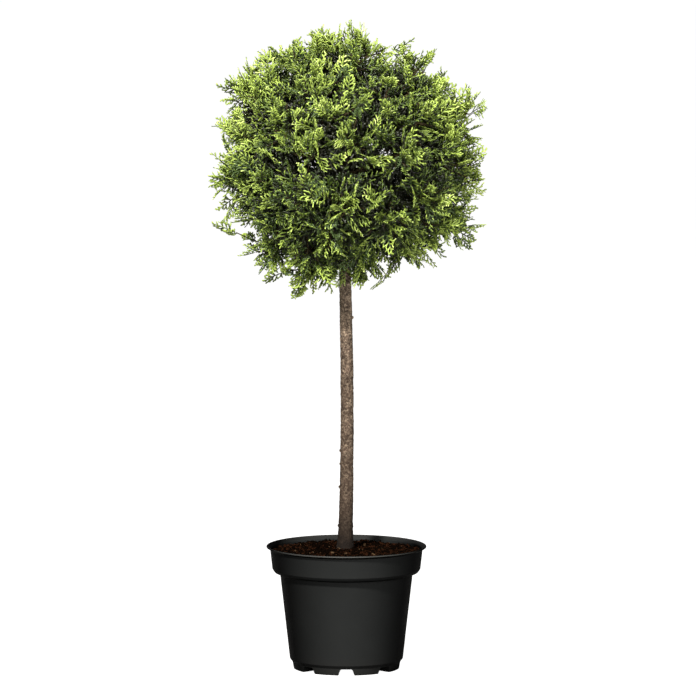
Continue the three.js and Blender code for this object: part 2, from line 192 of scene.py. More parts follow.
CAMERA_RISE = math.radians(6.0)  # above the level, looking at the front
CAMERA_DISTANCE = 8.0
SEEN_WIDTH = 1.0669  # of the plant's height
AIM_HEIGHT = 0.4949  # of the plant's height
SENSOR = 36.0
WHITE = (1.0, 1.0, 1.0, 1.0)
BACKDROP = (1.0, 1.0, 0.98, 1.0)
BACKDROP_GLOW = 1.1  # as the camera sees it
ROOM_LIGHT = 0.035  # what the backdrop throws on the plant
FLOOR_GREY = (0.2, 0.2, 0.2, 1.0)
LIT_POINT = Vector((0.0, 0.0, 0.62))
LIGHTS = (  # name, place and size in metres, power in watts, colour
    ("key", (-1.1, -2.5, 2.9), 0.4, 345.0, (1.0, 0.98, 0.93)),
    ("front", (0.6, -3.4, 0.8), 0.9, 78.0, (1.0, 0.99, 0.95)),
    ("right", (2.3, -1.6, 1.6), 1.2, 46.0, (1.0, 0.99, 0.96)),
    ("back", (-0.8, 2.8, 2.4), 1.2, 45.0, (1.0, 0.99, 0.95)),
)


def set_camera():
    height = cad_high[2]
    aim = Vector(((cad_low[0] + cad_high[0]) / 2, 0.0, AIM_HEIGHT * height))
    back = Vector((0.0, -math.cos(CAMERA_RISE), math.sin(CAMERA_RISE)))
    bpy.ops.object.camera_add(location=aim + CAMERA_DISTANCE * back)
    camera = bpy.context.object
    camera.name = "camera"
    camera.rotation_euler = (math.radians(90.0) - CAMERA_RISE, 0.0, 0.0)
    camera.data.sensor_width = SENSOR
    camera.data.lens = SENSOR * CAMERA_DISTANCE / (SEEN_WIDTH * height)
    bpy.context.scene.camera = camera


def set_lights():
    for name, place, size, power, colour in LIGHTS:
        bpy.ops.object.light_add(type="AREA", location=place)
        light = bpy.context.object
        light.name = name
        light.data.shape = "DISK"
        light.data.size = size
        light.data.energy = power
        light.data.color = colour
        toward = LIT_POINT - Vector(place)
        light.rotation_euler = toward.to_track_quat("-Z", "Y").to_euler()


def set_world():
    """A white backdrop that lights the plant only faintly."""
    world = bpy.data.worlds.new("white_studio")
    bpy.context.scene.world = world
    world.use_nodes = True
    tree = world.node_tree
    seen = add_node(tree, "LightPath", {}).outputs["Is Camera Ray"]
    glow = {"Value": seen, "To Min": ROOM_LIGHT, "To Max": BACKDROP_GLOW}
    strength = add_node(tree, "MapRange", glow).outputs["Result"]
    feed(tree, tree.nodes["Background"], {"Color": BACKDROP, "Strength": strength})
    bpy.context.scene.view_settings.view_transform = "Standard"


def lay_floor():
    """A floor that melts into the backdrop, and throws little light back up."""
    bpy.ops.mesh.primitive_circle_add(vertices=96, radius=30.0, fill_type="NGON")
    floor = bpy.context.object
    floor.name = "floor"
    paint = bpy.data.materials.new("pale_floor")
    paint.use_nodes = True
    tree = paint.node_tree
    shader = tree.nodes["Principled BSDF"]
    seen = add_node(tree, "LightPath", {}).outputs["Is Camera Ray"]
    feed(tree, shader, {"Base Color": FLOOR_GREY, "Roughness": 0.9})
    feed(tree, shader, {"Emission Color": WHITE, "Emission Strength": seen})
    floor.data.materials.append(paint)


# ---- the finishes ----


def shade(code):
    """A hex colour as the linear colour that a shader takes."""
    parts = [int(code[i : i + 2], 16) / 255.0 for i in (0, 2, 4)]
    linear = [p / 12.92 if p <= 0.04045 else ((p + 0.055) / 1.055) ** 2.4 for p in parts]
    return (*linear, 1.0)


groups = {}  # the shared shader groups, by name


def start_group(name, settings, output):
    """A shared group: its tree, its settings' sockets, its end, and the place in the frame."""
    group = bpy.data.node_groups.new(name, "ShaderNodeTree")
    groups[name] = group
    for label in settings:
        group.interface.new_socket(label, in_out="INPUT", socket_type="NodeSocketFloat")
    group.interface.new_socket(output, in_out="OUTPUT", socket_type="NodeSocketFloat")
    given = group.nodes.new("NodeGroupInput").outputs
    result = group.nodes.new("NodeGroupOutput")
    return group, given, result, add_node(group, "TexCoord", {}).outputs["Object"]


def add_maths(tree, operation, *values, clamp=False):
    """The outcome of one sum on sockets and numbers."""
    inputs = dict(enumerate(values))
    return add_node(tree, "Math", inputs, operation=operation, use_clamp=clamp).outputs[0]


def add_noise(tree, place, scale, detail):
    """Cloudy noise from 0 to 1."""
    inputs = {"Vector": place, "Scale": scale, "Detail": detail}
    return add_node(tree, "TexNoise", inputs).outputs["Fac"]


def make_mottle():
    """Soft patches: 0 to 1, with Contrast setting how sharp they are."""
    settings = ("Scale", "Detail", "Contrast")
    group, given, result, place = start_group("mottle", settings, "Mask")
    noise = add_noise(group, place, given["Scale"], given["Detail"])
    centred = add_maths(group, "SUBTRACT", noise, 0.5)
    mask = add_maths(group, "MULTIPLY_ADD", centred, given["Contrast"], 0.5, clamp=True)
    feed(group, result, {"Mask": mask})


def make_flecks():
    """Small scattered specks: 1 on a speck, for the share of cells that Cover gives."""
    settings = ("Scale", "Cover", "Size")
    group, given, result, place = start_group("flecks", settings, "Mask")
    cells = add_node(group, "TexVoronoi", {"Vector": place, "Scale": given["Scale"]}).outputs
    near = add_maths(group, "LESS_THAN", cells["Distance"], given["Size"])
    split = add_node(group, "SeparateColor", {"Color": cells["Color"]}).outputs
    chosen = add_maths(group, "LESS_THAN", split["Red"], given["Cover"])
    feed(group, result, {"Mask": add_maths(group, "MULTIPLY", near, chosen)})


def make_fibre():
    """Fine lines that run up the piece: a height from 0 to 1, drawn out by Stretch."""
    settings = ("Scale", "Stretch", "Detail")
    group, given, result, place = start_group("fibre", settings, "Height")
    squeeze = add_maths(group, "DIVIDE", 1.0, given["Stretch"])
    ratio = add_node(group, "CombineXYZ", {"X": 1.0, "Y": 1.0, "Z": squeeze}).outputs[0]
    drawn = add_node(group, "VectorMath", {0: place, 1: ratio}, operation="MULTIPLY").outputs[0]
    noise = add_noise(group, drawn, given["Scale"], given["Detail"])
    feed(group, result, {"Height": noise})


def make_stain_and_painted_light():
    """A level band, broken up by noise: full at Foot and past it, and gone by Height, which is
    above Foot or below it."""
    settings = ("Foot", "Height", "Scale")
    group, given, result, place = start_group("stain_and_painted_light", settings, "Mask")
    height = add_node(group, "SeparateXYZ", {0: place}).outputs["Z"]
    fade = {"Value": height, "From Min": given["Foot"], "From Max": given["Height"]}
    faded = add_node(group, "MapRange", {**fade, "To Min": 1.0, "To Max": 0.0}).outputs["Result"]
    noise = add_noise(group, place, given["Scale"], 5.0)
    feed(group, result, {"Mask": add_maths(group, "MULTIPLY", faded, noise)})


class Finish:
    """A material round one Principled shader, built up a layer at a time from hex colours."""

    def __init__(self, name, code, roughness, shine):
        self.material = bpy.data.materials.new(name)
        self.material.use_nodes = True
        self.material.diffuse_color = shade(code)
        self.tree = self.material.node_tree
        self.colour = shade(code)
        self.roughness = roughness
        self.give({"Base Color": self.colour, "Roughness": roughness, "Specular IOR Level": shine})

    def give(self, inputs):
        feed(self.tree, self.tree.nodes["Principled BSDF"], inputs)

    def effect(self, group, **settings):
        """Places a shared group with its own values and returns its output."""
        return add_node(self.tree, "Group", settings, node_tree=groups[group]).outputs[0]

    def tint(self, mask, code, share=1.0):
        """Lays a colour over what is there, where the mask is."""
        amount = add_maths(self.tree, "MULTIPLY", mask, share)
        layers = {"Factor": amount, "A": self.colour, "B": shade(code)}
        self.colour = add_node(self.tree, "Mix", layers, data_type="RGBA").outputs["Result"]
        self.give({"Base Color": self.colour})

    def lay(self, group, code, share=1.0, **settings):
        """Lays a colour where a shared group says."""
        self.tint(self.effect(group, **settings), code, share)

    def dull(self, mask, rougher):
        """Makes the surface rougher where the mask is."""
        spread = {"Value": mask, "To Min": self.roughness, "To Max": rougher}
        self.give({"Roughness": add_node(self.tree, "MapRange", spread).outputs["Result"]})

    def raise_by(self, group, depth, **settings):
        """Relief from a shared group, with its depth in metres."""
        relief = {"Height": self.effect(group, **settings), "Strength": 1.0, "Distance": depth}
        self.give({"Normal": add_node(self.tree, "Bump", relief).outputs["Normal"]})


def pot_plastic():
    """Cloudy black plastic, dusty at the foot, with a painted highlight and reflection in a pale band
    at the lip, and painted shade where it turns away.
    """
    plastic = Finish("black_pot_plastic", "212222", 0.5, 0.02)
    cloudy = plastic.effect("mottle", Scale=30.0, Detail=4.0, Contrast=2.5)
    plastic.dull(cloudy, 0.55)
    plastic.tint(cloudy, "1e1f1f", 0.6)
    plastic.lay("stain_and_painted_light", "262320", 0.4, Foot=0.0, Height=0.03, Scale=90.0)
    # Painted highlight and reflection: a paler band round the lip and the top of the inside wall.
    plastic.lay("stain_and_painted_light", "4c4c4a", 1.3, Foot=POT_HEIGHT * MM, Height=0.173, Scale=9.0)
    plastic.lay("flecks", "2b2926", 0.5, Scale=260.0, Cover=0.04, Size=0.16)
    # Painted shade: darker towards the sides, where the pot turns away from the lights.
    plastic.tint(add_node(plastic.tree, "LayerWeight", {}).outputs["Facing"], "020202", 1.7)
    plastic.raise_by("mottle", 0.00004, Scale=1500.0, Detail=2.0, Contrast=1.5)
    return plastic.material


def compost_finish():
    peat = Finish("moist_compost", "080403", 0.9, 0.0)
    peat.lay("mottle", "100905", Scale=180.0, Detail=5.0, Contrast=4.0)
    peat.lay("flecks", "24140c", 0.8, Scale=420.0, Cover=0.12, Size=0.3)
    peat.raise_by("mottle", 0.0012, Scale=600.0, Detail=6.0, Contrast=2.0)
    return peat.material


def crumb_finish(name, colour, light):
    crumb = Finish(name, colour, 0.92, 0.0)
    crumb.lay("mottle", light, 0.8, Scale=700.0, Detail=4.0, Contrast=3.0)
    crumb.raise_by("mottle", 0.0004, Scale=1500.0, Detail=4.0, Contrast=2.0)
    return crumb.material


BARK_PATCHES = (  # scale, detail, contrast, colour and share of each layer of patches
    (34.0, 4.0, 4.0, "6e5c50", 0.6),
    (95.0, 6.0, 5.0, "2e231c", 0.75),
    (280.0, 6.0, 6.0, "b09c86", 0.5),
    (560.0, 6.0, 6.0, "150e0a", 0.85),
)
BARK_DAMP = (  # height in metres, scale, colour and share: darker down the stem, darkest at the foot
    (0.52, 20.0, "2e231b", 1.6),
    (0.25, 50.0, "140e0a", 2.4),
)


def stem_bark():
    """Bark with painted light towards the head, where the head's shadow falls, patchy all over, and
    damp low down.
    """
    bark = Finish("stem_bark", "5c4c3f", 0.9, 0.15)
    # Painted light: the top of the stem made paler where the head's shadow falls on it.
    bark.lay("stain_and_painted_light", "c9b39a", Foot=0.58, Height=0.47, Scale=40.0)
    for scale, detail, contrast, code, share in BARK_PATCHES:
        bark.lay("mottle", code, share, Scale=scale, Detail=detail, Contrast=contrast)
    for height, scale, code, share in BARK_DAMP:
        bark.lay("stain_and_painted_light", code, share, Foot=TRUNK_FOOT * MM, Height=height, Scale=scale)
    bark.raise_by("fibre", 0.0018, Scale=600.0, Stretch=2.0, Detail=6.0)
    return bark.material


def twig_bark():
    bark = Finish("twig_bark", "272010", 0.85, 0.15)
    bark.lay("mottle", "3a311e", 0.7, Scale=220.0, Detail=4.0, Contrast=3.0)
    bark.raise_by("fibre", 0.0003, Scale=900.0, Stretch=2.0, Detail=4.0)
    return bark.material


# The foliage from the dry sprays inside to the freshest tips, the darker ones deep in the head partly
# painted shade: the finish's colour, its lighter flush, and the freshness at which it begins.
FOLIAGE = (
    ("dry_and_painted_shade", "0c0f03", "191d07", -9.0),
    ("deep_green", "101803", "202c07", -0.1),
    ("leaf_green", "3a4c13", "48591c", 0.12),
    ("mid_green", "5a6b24", "687a30", 0.3),
    ("light_green", "7d9036", "8c9f44", 0.48),
    ("lime_tips", "9ab04a", "a9bd5a", 0.68),
    ("gold_tips", "bacb6e", "c8d682", 0.88),
)
PALER = 4  # the first of the greens that are too pale to turn blue in the shade
SHADED = ("blue_green", "374920", "46582b")


def foliage_finish(name, colour, flush):
    leaf = Finish(name, colour, 0.4, 0.5)
    leaf.lay("mottle", flush, Scale=160.0, Detail=3.0, Contrast=3.0)
    leaf.raise_by("mottle", 0.0003, Scale=1400.0, Detail=2.0, Contrast=2.0)
    return leaf.material


# ---- how the plant grows, in millimetres ----

TRUNK_FOOT = 172.3
TRUNK_TIP = 806.0
FOOT_RADIUS = 9.4
NECK_RADIUS = 8.3  # where the trunk enters the head
TIP_RADIUS = 2.6
FLARE = 2.6
FLARE_HEIGHT = 26.0
FOOT_X = -1.9
BOW = (3.0, 1.5)
BOW_HEIGHT = (400.0, 500.0)

CENTRE = np.array((5.0, 0.0, 742.0))  # of the head
RADIUS = 186.0
LOBE_WIDTH = 0.46
CLEFT_HEIGHT = math.radians(70.0)
CLEFT_DEPTH = 0.15
CLEFT_WIDTH = 0.13

MASSES = (  # name, bearing and height of its middle in degrees, swell, height of its fork
    ("dome_left", 180, 82, 0.02, 780),
    ("dome_right", 0, 49, 0.01, 766),
    ("upper_right", 352, 6, 0.0, 714),
    ("upper_back_right", 68, 22, 0.03, 728),
    ("upper_back_left", 129, 25, 0.06, 742),
    ("upper_left", 186, 24, 0.08, 720),
    ("upper_front_left", 240, 25, 0.06, 735),
    ("upper_front_right", 294, 22, 0.03, 750),
    ("lower_right", 24, -33, 0.07, 656),
    ("lower_back", 96, -32, 0.03, 669),
    ("lower_left", 168, -31, 0.08, 650),
    ("lower_front_left", 236, -34, 0.05, 664),
    ("lower_front_right", 306, -32, 0.04, 643),
)
MASS_NAMES = [mass[0] for mass in MASSES]
MASS_DIRECTIONS = np.array([direction(mass[1], mass[2]) for mass in MASSES])
SWELLS = [mass[3] for mass in MASSES]
FORKS = [mass[4] for mass in MASSES]
FOLIAGE_NODES = ["foliage_" + name for name in MASS_NAMES]
DENTS = (  # angle round the head as seen from the front, depth and width of each dent
    (79.0, 0.26, 0.07),
    (57.5, 0.17, 0.06),
    (47.0, 0.06, 0.06),
    (222.0, 0.09, 0.1),
    (288.0, 0.1, 0.15),
)

SEED = 20
BOUGH_ROOT = 5.2
BOUGH_TIP = 3.4
BOUGH_END = 0.55  # this and the next two as shares of the reach
TWIG_FORK = 0.73
TWIG_SHORTEST = 0.95
TWIG_COUNT = 60
TWIG_JITTER = 0.12
TWIG_INSET = math.sin(0.15)
UPTURN = 0.14

SHOOTS = (  # bearing and height of a branch that has outgrown the ball, and how far past it
    (0, 82, 16), (0, 52, 16), (38, 46, 4), (325, 48, 6),
    (0, 20, 24), (0, -3, 12), (0, -34, 22), (180, 32, 14),
    (180, -11, 12), (180, -32, 28), (180, -48, 22), (183, -69, 32),
    (90, 18, 8), (84, -20, 14), (270, 14, 8), (265, -24, 14),
)


def trunk_at(z):
    """The trunk's centre at these heights."""
    z = np.asarray(z, float)
    x = FOOT_X + BOW[0] * np.sin(np.pi * (z - TRUNK_FOOT) / BOW_HEIGHT[0])
    y = BOW[1] * np.sin(np.pi * (z - TRUNK_FOOT) / BOW_HEIGHT[1])
    return np.stack([x, y, z], axis=-1)


def trunk_radius(z):
    neck = CENTRE[2] - 0.95 * RADIUS
    if z < neck:
        share = (z - TRUNK_FOOT) / (neck - TRUNK_FOOT)
        flare = FLARE * math.exp(-(z - TRUNK_FOOT) / FLARE_HEIGHT)
        return FOOT_RADIUS + (NECK_RADIUS - FOOT_RADIUS) * share + flare
    return NECK_RADIUS + (TIP_RADIUS - NECK_RADIUS) * (z - neck) / (TRUNK_TIP - neck)


def reach_to(ways):
    """How far the foliage reaches from the head's centre along these unit vectors."""
    swell = np.zeros(ways.shape[:-1])
    for way, amount in zip(MASS_DIRECTIONS, SWELLS):
        angle = np.arccos(np.clip(ways @ way, -1.0, 1.0))
        swell += amount * np.exp(-((angle / LOBE_WIDTH) ** 2))
    across = np.arctan2(ways[..., 2], ways[..., 0]) - CLEFT_HEIGHT
    cleft = CLEFT_DEPTH * np.exp(-((across / CLEFT_WIDTH) ** 2)) * (1 - ways[..., 1] ** 2)
    return RADIUS * (1 + swell - cleft)


def room_to(ways):
    """The reach in each direction, less the dents in the head."""
    room = reach_to(ways)
    across = np.arctan2(ways[..., 2], ways[..., 0])
    for angle, depth, width in DENTS:
        apart = np.abs(across - math.radians(angle))
        apart = np.minimum(apart, 2 * np.pi - apart)
        room = room * (1 - depth * np.exp(-((apart / width) ** 2)) * (1 - ways[..., 1] ** 2))
    return room


def out_to(ways, share):
    return CENTRE + ways * (share * reach_to(ways))[..., None]


def curve_points(start, bend, end, count):
    """Points along a quadratic curve; start, bend and end may be rows of points."""
    t = np.linspace(0.0, 1.0, count)
    t = t.reshape((count,) + (1,) * start.ndim)
    points = (1 - t) ** 2 * start + 2 * t * (1 - t) * bend + t**2 * end
    return np.moveaxis(points, 0, -2)


def bough_line(i, count):
    """The centre line of a mass's bough, from the trunk out to its end."""
    way = MASS_DIRECTIONS[i]
    end = out_to(way, BOUGH_END)
    neck = end - 3 * BOUGH_TIP * way
    bend = end - 0.2 * RADIUS * way
    return np.vstack([curve_points(trunk_at(FORKS[i]), bend, neck, count - 1), end])


def inset_from(i, way):
    """Moves a direction towards the middle of its mass until it is clear of the edges."""
    others = np.delete(MASS_DIRECTIONS, i, axis=0)
    walls = unit(MASS_DIRECTIONS[i] - others)
    for _ in range(40):
        if not (walls @ way < TWIG_INSET).any():
            break
        way = unit(way + 0.04 * MASS_DIRECTIONS[i])
    return way


def grow_branches():
    """The branches of the whole ball: the mass, direction and reach of each."""
    draw = stream(SEED)
    masses = []
    ways = []
    reaches = []
    for way in spiral_ways(TWIG_COUNT):
        way = unit(way + TWIG_JITTER * np.array([draw() - 0.5, draw() - 0.5, draw() - 0.5]))
        mass = int(np.argmax(MASS_DIRECTIONS @ way))
        way = inset_from(mass, way)
        masses.append(mass)
        ways.append(way)
        reaches.append(reach_to(way) * (TWIG_SHORTEST + (1 - TWIG_SHORTEST) * draw()))
    for bearing, height, reach in SHOOTS:
        way = direction(bearing, height)
        i = int(np.argmax(np.array(ways) @ way))
        masses[i] = int(np.argmax(MASS_DIRECTIONS @ way))
        ways[i] = way
        reaches[i] = reach_to(way) + reach
    return np.array(masses), np.array(ways), np.array(reaches)


# ---- shaping by hand ----

SEAM = 0.01  # points closer than this are one


def close_up():
    """Welds the seams of the piece being edited, turns its faces outwards, and leaves it."""
    bpy.ops.mesh.select_all(action="SELECT")
    bpy.ops.mesh.remove_doubles(threshold=SEAM * MM)
    bpy.ops.mesh.normals_make_consistent(inside=False)
    enter("OBJECT")


def turn_profile(name, points, sides):
    """A closed solid of revolution: points are (radius, height), from axis to axis."""
    deselect()
    bpy.ops.mesh.primitive_plane_add(size=MM, location=(0.0, 0.0, 0.0))
    piece = bpy.context.object
    piece.name = name
    enter("EDIT")
    bpy.ops.mesh.select_mode(type="VERT")
    bpy.ops.mesh.select_all(action="SELECT")
    bpy.ops.mesh.merge(type="CENTER")
    bpy.ops.transform.translate(value=(points[0][0] * MM, 0.0, points[0][1] * MM))
    for (r0, z0), (r1, z1) in zip(points, points[1:]):
        step = ((r1 - r0) * MM, 0.0, (z1 - z0) * MM)
        bpy.ops.mesh.extrude_region_move(TRANSFORM_OT_translate={"value": step})
    bpy.ops.mesh.select_all(action="SELECT")
    bpy.ops.mesh.spin(steps=sides, angle=2 * math.pi, center=(0, 0, 0), axis=(0, 0, 1))
    close_up()
    return piece


def modify(piece, kind, **settings):
    """Puts a modifier on a piece and applies it."""
    take(piece)
    bpy.ops.object.modifier_add(type=kind)
    modifier = piece.modifiers[-1]
    for label, value in settings.items():
        setattr(modifier, label, value)
    bpy.ops.object.modifier_apply(modifier=modifier.name)


def round_edges(piece, width, segments, angle):
    """Rounds every edge that is sharper than the angle."""
    sharp = {"limit_method": "ANGLE", "angle_limit": math.radians(angle)}
    modify(piece, "BEVEL", width=width * MM, segments=segments, **sharp)


def cut_with(piece, cutter):
    """Takes the cutter out of the piece, and the cutter away."""
    modify(piece, "BOOLEAN", operation="DIFFERENCE", solver="EXACT", object=cutter)
    bpy.data.objects.remove(cutter)


def roughen(piece, kind, grain, depth, stretch=1.0, along="NORMAL", only=""):
    """Pushes the surface in and out by a cloudy pattern of the given grain, drawn out upwards."""
    pattern = bpy.data.textures.new("relief", kind)
    pattern.noise_scale = grain * MM
    bpy.ops.object.empty_add(location=(0.0, 0.0, 0.0))
    guide = bpy.context.object
    guide.scale = (1.0, 1.0, stretch)
    bpy.context.view_layer.update()
    laid = {"texture": pattern, "texture_coords": "OBJECT", "texture_coords_object": guide}
    pushed = {"direction": along, "mid_level": 0.5, "strength": 2 * depth * MM}
    modify(piece, "DISPLACE", **laid, **pushed, vertex_group=only)
    bpy.data.objects.remove(guide)
    bpy.data.textures.remove(pattern)


def draw_limb(name, line, radii, sides, steps):
    """A round closed limb through the points of a line, with a radius at each."""
    deselect()
    bpy.ops.curve.primitive_bezier_curve_add(location=(0.0, 0.0, 0.0))
    limb = bpy.context.object
    limb.name = name
    spline = limb.data.splines[0]
    spline.bezier_points.add(len(line) - len(spline.bezier_points))
    for knot, place, radius in zip(spline.bezier_points, line, radii):
        knot.co = Vector(place) * MM
        knot.radius = radius
        knot.handle_left_type = "AUTO"
        knot.handle_right_type = "AUTO"
    limb.data.dimensions = "3D"
    limb.data.bevel_depth = MM
    limb.data.bevel_resolution = sides // 2 - 2
    limb.data.resolution_u = steps
    limb.data.use_fill_caps = True
    bpy.ops.object.convert(target="MESH")
    enter("EDIT")
    close_up()
    return bpy.context.object


def smooth(piece, angle):
    take(piece)
    bpy.ops.object.shade_smooth_by_angle(angle=math.radians(angle))


# ---- the pot and its compost ----

POT_HEIGHT = 179.0
RIM_RADIUS = 116.3
WALL = 1.5
EDGE_RADIUS = 0.55  # of every edge of the pot
FOOT_HEIGHT = 9.5
FLOOR = FOOT_HEIGHT + 1.8
FOOT_RING = 77.2
FOOT_DEPTH = 21.0  # of the feet, towards the middle
BODY_FOOT = (82.3, FOOT_HEIGHT + 5)
BODY_TOP = (96.4, 138.5)
COLLAR_FOOT = (107.6, 145.5)
COLLAR_TOP = (110.8, 174.0)
FEET = 8
NOTCH_WIDTH = 24.0  # at the ground, between two feet
NOTCH_TOP_WIDTH = 17.0
NOTCH_ROOF = 0.2  # left under the pot's own floor
NOTCH_BELOW = 1.0  # clear of the ground
NOTCH_CORNER = 2.0
DRAIN_RADIUS = 5.0
DRAIN_CIRCLE = 60.0
DRAIN_DEPTH = 8.0
DRAIN_SIDES = 32
POT_SIDES = 144

SOIL_TOP = 172.0
SOIL_DROP = 2.5  # from the middle down to the edge
SOIL_LEVEL = 60.0  # radius of the level part
SOIL_SIDES = 240
SOIL_RINGS = 64
SOIL_GAP = WALL + 0.6  # from the outside of the pot to the compost
MOUND = 2.5  # heaped up round the stem
MOUND_WIDTH = 26.0
LUMPS = ((14.0, 2.2), (4.5, 1.4))  # grain and depth of the uneven top
CRUMB_SIZES = (1.1, 3.4)
CRUMBS = (  # name, count, colour and the lighter colour of its patches
    ("dark_crumbs", 2500, "050302", "0d0704"),
    ("red_crumbs", 700, "160b06", "29160c"),
    ("pale_crumbs", 45, "35281a", "534130"),
)
FIBRES = 420
FIBRE_RADIUS = 0.28


def notch_cutter(turn):
    """The space between two feet and the two opposite them: a trapezoid right across the pot."""
    deselect()
    top = FOOT_HEIGHT - NOTCH_ROOF
    bottom = -NOTCH_BELOW
    size = (2 * RIM_RADIUS * MM, NOTCH_WIDTH * MM, (top - bottom) * MM)
    middle = (0.0, 0.0, (top + bottom) / 2 * MM)
    bpy.ops.mesh.primitive_cube_add(size=1.0, location=middle, scale=size)
    bpy.ops.object.transform_apply()
    bar = bpy.context.object
    enter("EDIT")
    bpy.ops.mesh.select_all(action="DESELECT")
    enter("OBJECT")
    for vertex in bar.data.vertices:
        vertex.select = vertex.co.z > 0
    enter("EDIT")
    narrower = (1.0, NOTCH_TOP_WIDTH / NOTCH_WIDTH, 1.0)
    bpy.ops.transform.resize(value=narrower, center_override=(0.0, 0.0, 0.0))
    enter("OBJECT")
    for edge in bar.data.edges:
        a, b = (bar.data.vertices[k].co for k in edge.vertices)
        edge.select = a.z > 0 and b.z > 0 and abs(a.x - b.x) > RIM_RADIUS * MM
    enter("EDIT")
    bpy.ops.mesh.select_mode(type="EDGE")
    bpy.ops.mesh.bevel(offset=NOTCH_CORNER * MM, segments=4)
    enter("OBJECT")
    bar.rotation_euler.z = turn
    bpy.ops.object.transform_apply()
    return bar


def drain_cutter(turn):
    deselect()
    place = direction(math.degrees(turn), 0.0) * DRAIN_CIRCLE + FLOOR * UP
    size = {"radius": DRAIN_RADIUS * MM, "depth": DRAIN_DEPTH * MM}
    bpy.ops.mesh.primitive_cylinder_add(vertices=DRAIN_SIDES, location=Vector(place) * MM, **size)
    bpy.ops.object.transform_apply()
    return bpy.context.object


def mould_pot():
    outside = [
        (0.0, FOOT_HEIGHT),
        (FOOT_RING - FOOT_DEPTH - 0.8, FOOT_HEIGHT),
        (FOOT_RING - FOOT_DEPTH, 0.0),
        (FOOT_RING, 0.0),
        (FOOT_RING + 1.6, FOOT_HEIGHT + 0.5),
        BODY_FOOT,
        BODY_TOP,
        (COLLAR_FOOT[0] - 3.2, BODY_TOP[1] + 2.4),
        COLLAR_FOOT,
        COLLAR_TOP,
        (RIM_RADIUS, POT_HEIGHT - 2.0),
        (RIM_RADIUS - 0.3, POT_HEIGHT - 0.5),
        (RIM_RADIUS - 1.6, POT_HEIGHT),
    ]
    inside = [
        (COLLAR_TOP[0] - WALL, COLLAR_TOP[1] + 0.6),
        (COLLAR_FOOT[0] - WALL, COLLAR_FOOT[1] + 0.6),
        (COLLAR_FOOT[0] - 4.0, BODY_TOP[1] + 4.2),
        (BODY_TOP[0] - WALL, BODY_TOP[1] + 1.6),
        (BODY_FOOT[0] - WALL, FOOT_HEIGHT + 5.6),
        (FOOT_RING, FLOOR),
        (0.0, FLOOR),
    ]
    pot = turn_profile("nursery_pot", outside + inside, POT_SIDES)
    round_edges(pot, EDGE_RADIUS, segments=3, angle=12.0)
    for i in range(FEET // 2):
        cut_with(pot, notch_cutter(2 * math.pi * i / FEET))
    for i in range(FEET):
        cut_with(pot, drain_cutter(2 * math.pi * (i + 0.5) / FEET))
    smooth(pot, 28.0)
    return pot


def fill_pot():
    """The compost: one closed block with a loose, uneven top, a little heaped round the stem."""
    edge = SOIL_TOP - SOIL_DROP
    rise = (edge - COLLAR_FOOT[1]) / (COLLAR_TOP[1] - COLLAR_FOOT[1])
    rim = COLLAR_FOOT[0] + (COLLAR_TOP[0] - COLLAR_FOOT[0]) * rise - SOIL_GAP
    block = [
        (0.0, FLOOR + 0.3),
        (FOOT_RING - SOIL_GAP / 2, FLOOR + 0.3),
        (BODY_FOOT[0] - SOIL_GAP, FOOT_HEIGHT + 6.2),
        (BODY_TOP[0] - SOIL_GAP, BODY_TOP[1] + 2.2),
        (COLLAR_FOOT[0] - 4.6, BODY_TOP[1] + 4.8),
        (COLLAR_FOOT[0] - SOIL_GAP, COLLAR_FOOT[1] + 1.0),
        (rim, edge - 3.0),
    ]
    top = []
    for k in range(SOIL_RINGS + 1):
        r = rim * (1 - k / SOIL_RINGS)
        fall = SOIL_DROP * max(0.0, (r - SOIL_LEVEL) / (rim - SOIL_LEVEL)) ** 2
        top.append((r, SOIL_TOP - fall + MOUND * math.exp(-((r / MOUND_WIDTH) ** 2))))
    soil = turn_profile("compost", block + top, SOIL_SIDES)
    surface = soil.vertex_groups.new(name="surface")
    for vertex in soil.data.vertices:
        if vertex.co.z > (edge - 1.0) * MM:
            from_wall = rim - vertex.co.xy.length / MM
            surface.add([vertex.index], min(1.0, 0.15 + from_wall / 6.0), "REPLACE")
    for grain, depth in LUMPS:
        roughen(soil, "CLOUDS", grain, depth, along="Z", only="surface")
    smooth(soil, 40.0)
    return soil, rim


def scatter_crumbs(soil, rim, count, sizes):
    """Lumps of peat lying on the compost: eight-cornered stones, each of its own shape."""
    spots = np.array([vertex.co for vertex in soil.data.vertices]) / MM
    level = np.hypot(spots[:, 0], spots[:, 1])
    spots = spots[(spots[:, 2] > SOIL_TOP - SOIL_DROP - 3.0) & (level < rim - 2.5)]
    share = np.hypot(spots[:, 0], spots[:, 1])
    picked = spots[rng.choice(len(spots), count, p=share / share.sum())]
    picked[:, :2] += rng.normal(0, 0.7, (count, 2))
    corners = np.array([(x, y, z) for x in (-1, 1) for y in (-1, 1) for z in (-1, 1)], float)
    squares = ((0, 1, 3, 2), (4, 6, 7, 5), (0, 4, 5, 1), (2, 3, 7, 6), (0, 2, 6, 4), (1, 5, 7, 3))
    faces = np.array([half for a, b, c, d in squares for half in ((a, b, c), (a, c, d))])
    size = sizes[0] + (sizes[1] - sizes[0]) * rng.random(count) ** 2.5
    shape = corners[None] * rng.uniform(0.35, 0.75, (count, 1, 3)) * size[:, None, None]
    shape += rng.normal(0, 0.17, shape.shape) * size[:, None, None]
    frames = np.linalg.qr(rng.normal(0, 1, (count, 3, 3)))[0]
    frames *= np.sign(np.linalg.det(frames))[:, None, None]
    points = np.einsum("cvj,cjk->cvk", shape, frames) + picked[:, None]
    points[..., 2] += 0.25 * size[:, None]
    return points, faces


